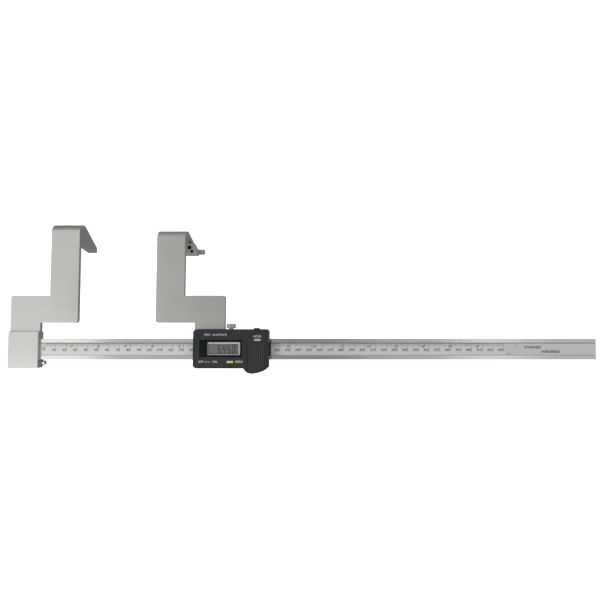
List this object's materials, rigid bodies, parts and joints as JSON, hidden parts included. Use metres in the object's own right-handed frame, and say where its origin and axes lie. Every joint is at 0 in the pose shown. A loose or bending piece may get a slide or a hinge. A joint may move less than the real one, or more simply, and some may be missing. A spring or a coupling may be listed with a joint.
{
  "type": "digital caliper",
  "caption": "Long digital caliper with bent-back hooked jaws for inside measuring, a sliding display head and a printed scale on the beam.",
  "frame": {"origin": "centre of the end block's back face", "axes": "+X along the beam to its free end, +Y towards the jaw tips, +Z out of the display"},
  "size_m": [0.5497, 0.1409, 0.0458],
  "materials": {
    "beam_steel": "satin stainless, bare rails above and below the scale",
    "scale_print": "pale film with dark graduations",
    "circuit_board": "green laminate",
    "block_steel": "light satin, ground",
    "frame_steel": "satin, machined",
    "jaw_steel": "stainless plate, brushed along the arm",
    "pin_steel": "ground round bar",
    "screw_steel": "turned",
    "dark_screw": "black oxide",
    "gib_brass": "milled",
    "housing_black": "fine grained black plastic",
    "wiper_black": "black, soft",
    "window_glass": "clear window with a glossy black surround",
    "frame_grey": "pale grey",
    "lcd_glass": "grey green LCD",
    "connector_rubber": "striped silicone",
    "spring_steel": "sprung",
    "cell_steel": "nickel plated",
    "button_blue": "moulded",
    "button_red": "moulded",
    "button_yellow": "moulded",
    "button_green": "moulded"
  },
  "bodies": {
    "beam_body": {"beam": "beam_steel", "scale_board": "circuit_board", "scale_film": "scale_print", "end_block": "block_steel", "end_back_plate": "block_steel", "end_block_screws": "screw_steel", "end_dowels": "pin_steel", "wedge_gib": "gib_brass", "adjusting_screw": "screw_steel", "adjusting_lock_nut": "screw_steel", "fixed_jaw": "jaw_steel", "end_stop": "frame_steel", "end_stop_screw": "screw_steel"},
    "slider_body": {"slider_frame": "frame_steel", "moving_jaw": "jaw_steel", "jaw_screws": "screw_steel", "slider_gib": "gib_brass", "gib_set_screws": "screw_steel", "front_housing": "housing_black", "display_window": "window_glass", "lcd_panel": "lcd_glass", "lcd_frame": "frame_grey", "lcd_holder": "frame_grey", "zebra_strips": "connector_rubber", "main_board": "circuit_board", "battery_cell": "cell_steel", "battery_spring": "spring_steel", "battery_clip": "spring_steel", "port_contacts": "wiper_black", "button_domes": "spring_steel", "wipers": "wiper_black", "housing_screws": "screw_steel", "contact_holder": "frame_steel", "holder_screw": "dark_screw", "contact_pin": "pin_steel", "pin_set_screw": "dark_screw"},
    "lock_screw_body": {"lock_screw": "pin_steel"},
    "lock_pad_body": {"lock_pad": "gib_brass"},
    "battery_cover_body": {"battery_cover": "housing_black"},
    "port_cover_body": {"port_cover": "housing_black"},
    "mm_inch_button_body": {"mm_inch_button": "button_blue"},
    "on_off_button_body": {"on_off_button": "button_red"},
    "zero_button_body": {"zero_button": "button_yellow"},
    "hold_button_body": {"hold_button": "button_green"}
  },
  "joints": [
    {"name": "slider_travel", "type": "slide", "parent": "beam_body", "child": "slider_body", "axis": [1, 0, 0], "range_m": [-0.0728, 0.29]},
    {"name": "lock_turn", "type": "hinge", "parent": "slider_body", "child": "lock_screw_body", "pos_m": [0.1926, 0.0217, 0.0045], "axis": [0, -1, 0], "range_deg": [0, 180]},
    {"name": "lock_pad_press", "type": "slide", "parent": "slider_body", "child": "lock_pad_body", "axis": [0, -1, 0], "range_m": [0, 0.00024]},
    {"name": "battery_cover_slide", "type": "slide", "parent": "slider_body", "child": "battery_cover_body", "axis": [1, 0, 0], "range_m": [0, 0.024]},
    {"name": "port_cover_slide", "type": "slide", "parent": "slider_body", "child": "port_cover_body", "axis": [1, 0, 0], "range_m": [0, 0.012]},
    {"name": "mm_inch_button_press", "type": "slide", "parent": "slider_body", "child": "mm_inch_button_body", "axis": [0, 0, -1], "range_m": [0, 0.0004], "stiffness_N_per_m": 2500, "springref_m": -0.0002},
    {"name": "on_off_button_press", "type": "slide", "parent": "slider_body", "child": "on_off_button_body", "axis": [0, 0, -1], "range_m": [0, 0.0004], "stiffness_N_per_m": 2500, "springref_m": -0.0002},
    {"name": "zero_button_press", "type": "slide", "parent": "slider_body", "child": "zero_button_body", "axis": [0, 0, -1], "range_m": [0, 0.0004], "stiffness_N_per_m": 2500, "springref_m": -0.0002},
    {"name": "hold_button_press", "type": "slide", "parent": "slider_body", "child": "hold_button_body", "axis": [0, 0, -1], "range_m": [0, 0.0004], "stiffness_N_per_m": 2500, "springref_m": -0.0002}
  ],
  "couplings": [
    {"joint": "lock_pad_press", "follows": "lock_turn", "m_per_rad": 0.00007162}
  ]
}
